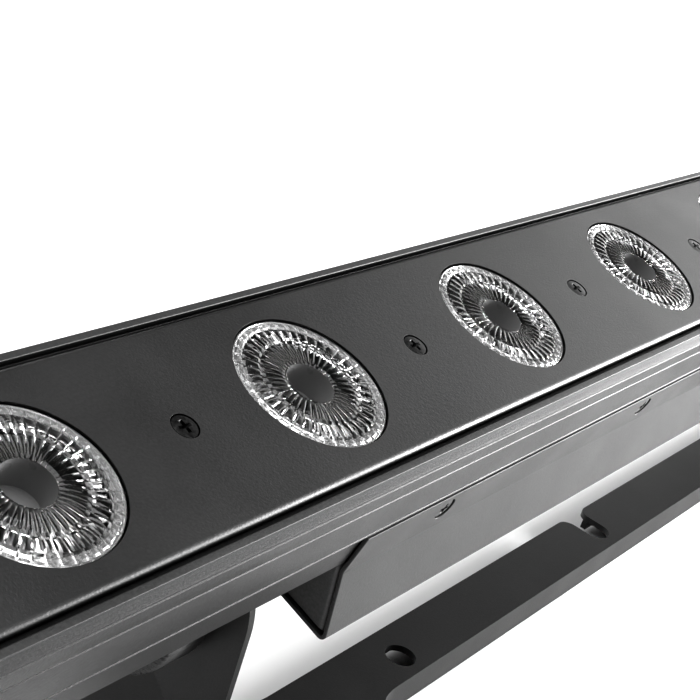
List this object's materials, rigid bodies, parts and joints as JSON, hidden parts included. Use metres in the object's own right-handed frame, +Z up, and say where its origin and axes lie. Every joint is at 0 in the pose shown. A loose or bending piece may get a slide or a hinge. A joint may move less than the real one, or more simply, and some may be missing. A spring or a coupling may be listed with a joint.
{
  "type": "led strip batten",
  "caption": "Linear stage LED bar with clear lenses in a black extruded housing, a driver box beneath and a tilting floor yoke with knobs.",
  "frame": {"origin": "middle of the base of the batten's box, on the floor under the middle of the bar", "axes": "+X along the bar, -Y the side that the lenses lean towards, +Z up"},
  "size_m": [1, 0.106, 0.1222],
  "materials": {
    "housing_paint": "fine sandy black powder coat on an extrusion",
    "panel_paint": "fine matte black powder coat",
    "cover_paint": "smooth satin black paint",
    "yoke_paint": "smooth satin black powder coat",
    "clear_lens": "clear moulded acrylic with radial prisms",
    "black_screw": "black zinc, slightly glossy",
    "cap_plastic": "matte moulded black",
    "socket_plastic": "satin moulded black with metal contacts",
    "circuit_board": "solder-mask green with small parts",
    "psu_can": "folded bare sheet",
    "display_glass": "dark glossy window",
    "button_rubber": "matte silicone",
    "insert_brass": "turned brass",
    "knob_plastic": "glass-filled nylon with fine axial ribs",
    "foot_rubber": "matte moulded rubber"
  },
  "bodies": {
    "yoke": {"yoke": "yoke_paint", "friction_washer_left": "foot_rubber", "friction_washer_right": "foot_rubber", "rubber_foot_near_left": "foot_rubber", "rubber_foot_near_right": "foot_rubber", "rubber_foot_far_left": "foot_rubber", "rubber_foot_far_right": "foot_rubber"},
    "bar": {"housing": "housing_paint", "front_panel": "panel_paint", "lens_carrier": "cap_plastic", "led_board": "circuit_board", "lens_01": "clear_lens", "lens_02": "clear_lens", "lens_03": "clear_lens", "lens_04": "clear_lens", "lens_05": "clear_lens", "lens_06": "clear_lens", "lens_07": "clear_lens", "lens_08": "clear_lens", "lens_09": "clear_lens", "lens_10": "clear_lens", "lens_11": "clear_lens", "lens_12": "clear_lens", "panel_screw_01": "black_screw", "panel_screw_02": "black_screw", "panel_screw_03": "black_screw", "panel_screw_04": "black_screw", "panel_screw_05": "black_screw", "panel_screw_06": "black_screw", "panel_screw_07": "black_screw", "panel_screw_08": "black_screw", "panel_screw_09": "black_screw", "panel_screw_10": "black_screw", "panel_screw_11": "black_screw", "panel_screw_12": "black_screw", "panel_screw_13": "black_screw", "end_cap_left": "cap_plastic", "end_cap_right": "cap_plastic", "power_inlet": "socket_plastic", "power_outlet": "socket_plastic", "dmx_input": "socket_plastic", "dmx_output": "socket_plastic", "driver_cover": "cover_paint", "cover_end_plate_left": "cover_paint", "cover_end_plate_right": "cover_paint", "psu_module": "psu_can", "driver_board": "circuit_board", "display_module": "display_glass", "pivot_lug_left": "yoke_paint", "pivot_lug_right": "yoke_paint", "pivot_insert_left": "insert_brass", "pivot_insert_right": "insert_brass"},
    "tilt_knob_left": {"tilt_knob_left": "knob_plastic"},
    "tilt_knob_right": {"tilt_knob_right": "knob_plastic"},
    "menu_button_1": {"menu_button_1": "button_rubber"},
    "menu_button_2": {"menu_button_2": "button_rubber"},
    "menu_button_3": {"menu_button_3": "button_rubber"},
    "menu_button_4": {"menu_button_4": "button_rubber"}
  },
  "joints": [
    {"name": "bar_tilt", "type": "hinge", "parent": "yoke", "child": "bar", "pos_m": [0, 0.009, 0.05525], "axis": [1, 0, 0], "range_deg": [-106, 73]},
    {"name": "tilt_knob_left_turn", "type": "hinge", "parent": "yoke", "child": "tilt_knob_left", "pos_m": [-0.217, 0.009, 0.05525], "axis": [-1, 0, 0], "continuous": true},
    {"name": "tilt_knob_right_turn", "type": "hinge", "parent": "yoke", "child": "tilt_knob_right", "pos_m": [0.217, 0.009, 0.05525], "axis": [1, 0, 0], "continuous": true},
    {"name": "menu_button_1_press", "type": "slide", "parent": "bar", "child": "menu_button_1", "axis": [0, -0.8059, -0.592], "range_m": [0, 0.0006], "stiffness_N_per_m": 500},
    {"name": "menu_button_2_press", "type": "slide", "parent": "bar", "child": "menu_button_2", "axis": [0, -0.8059, -0.592], "range_m": [0, 0.0006], "stiffness_N_per_m": 500},
    {"name": "menu_button_3_press", "type": "slide", "parent": "bar", "child": "menu_button_3", "axis": [0, -0.8059, -0.592], "range_m": [0, 0.0006], "stiffness_N_per_m": 500},
    {"name": "menu_button_4_press", "type": "slide", "parent": "bar", "child": "menu_button_4", "axis": [0, -0.8059, -0.592], "range_m": [0, 0.0006], "stiffness_N_per_m": 500}
  ]
}
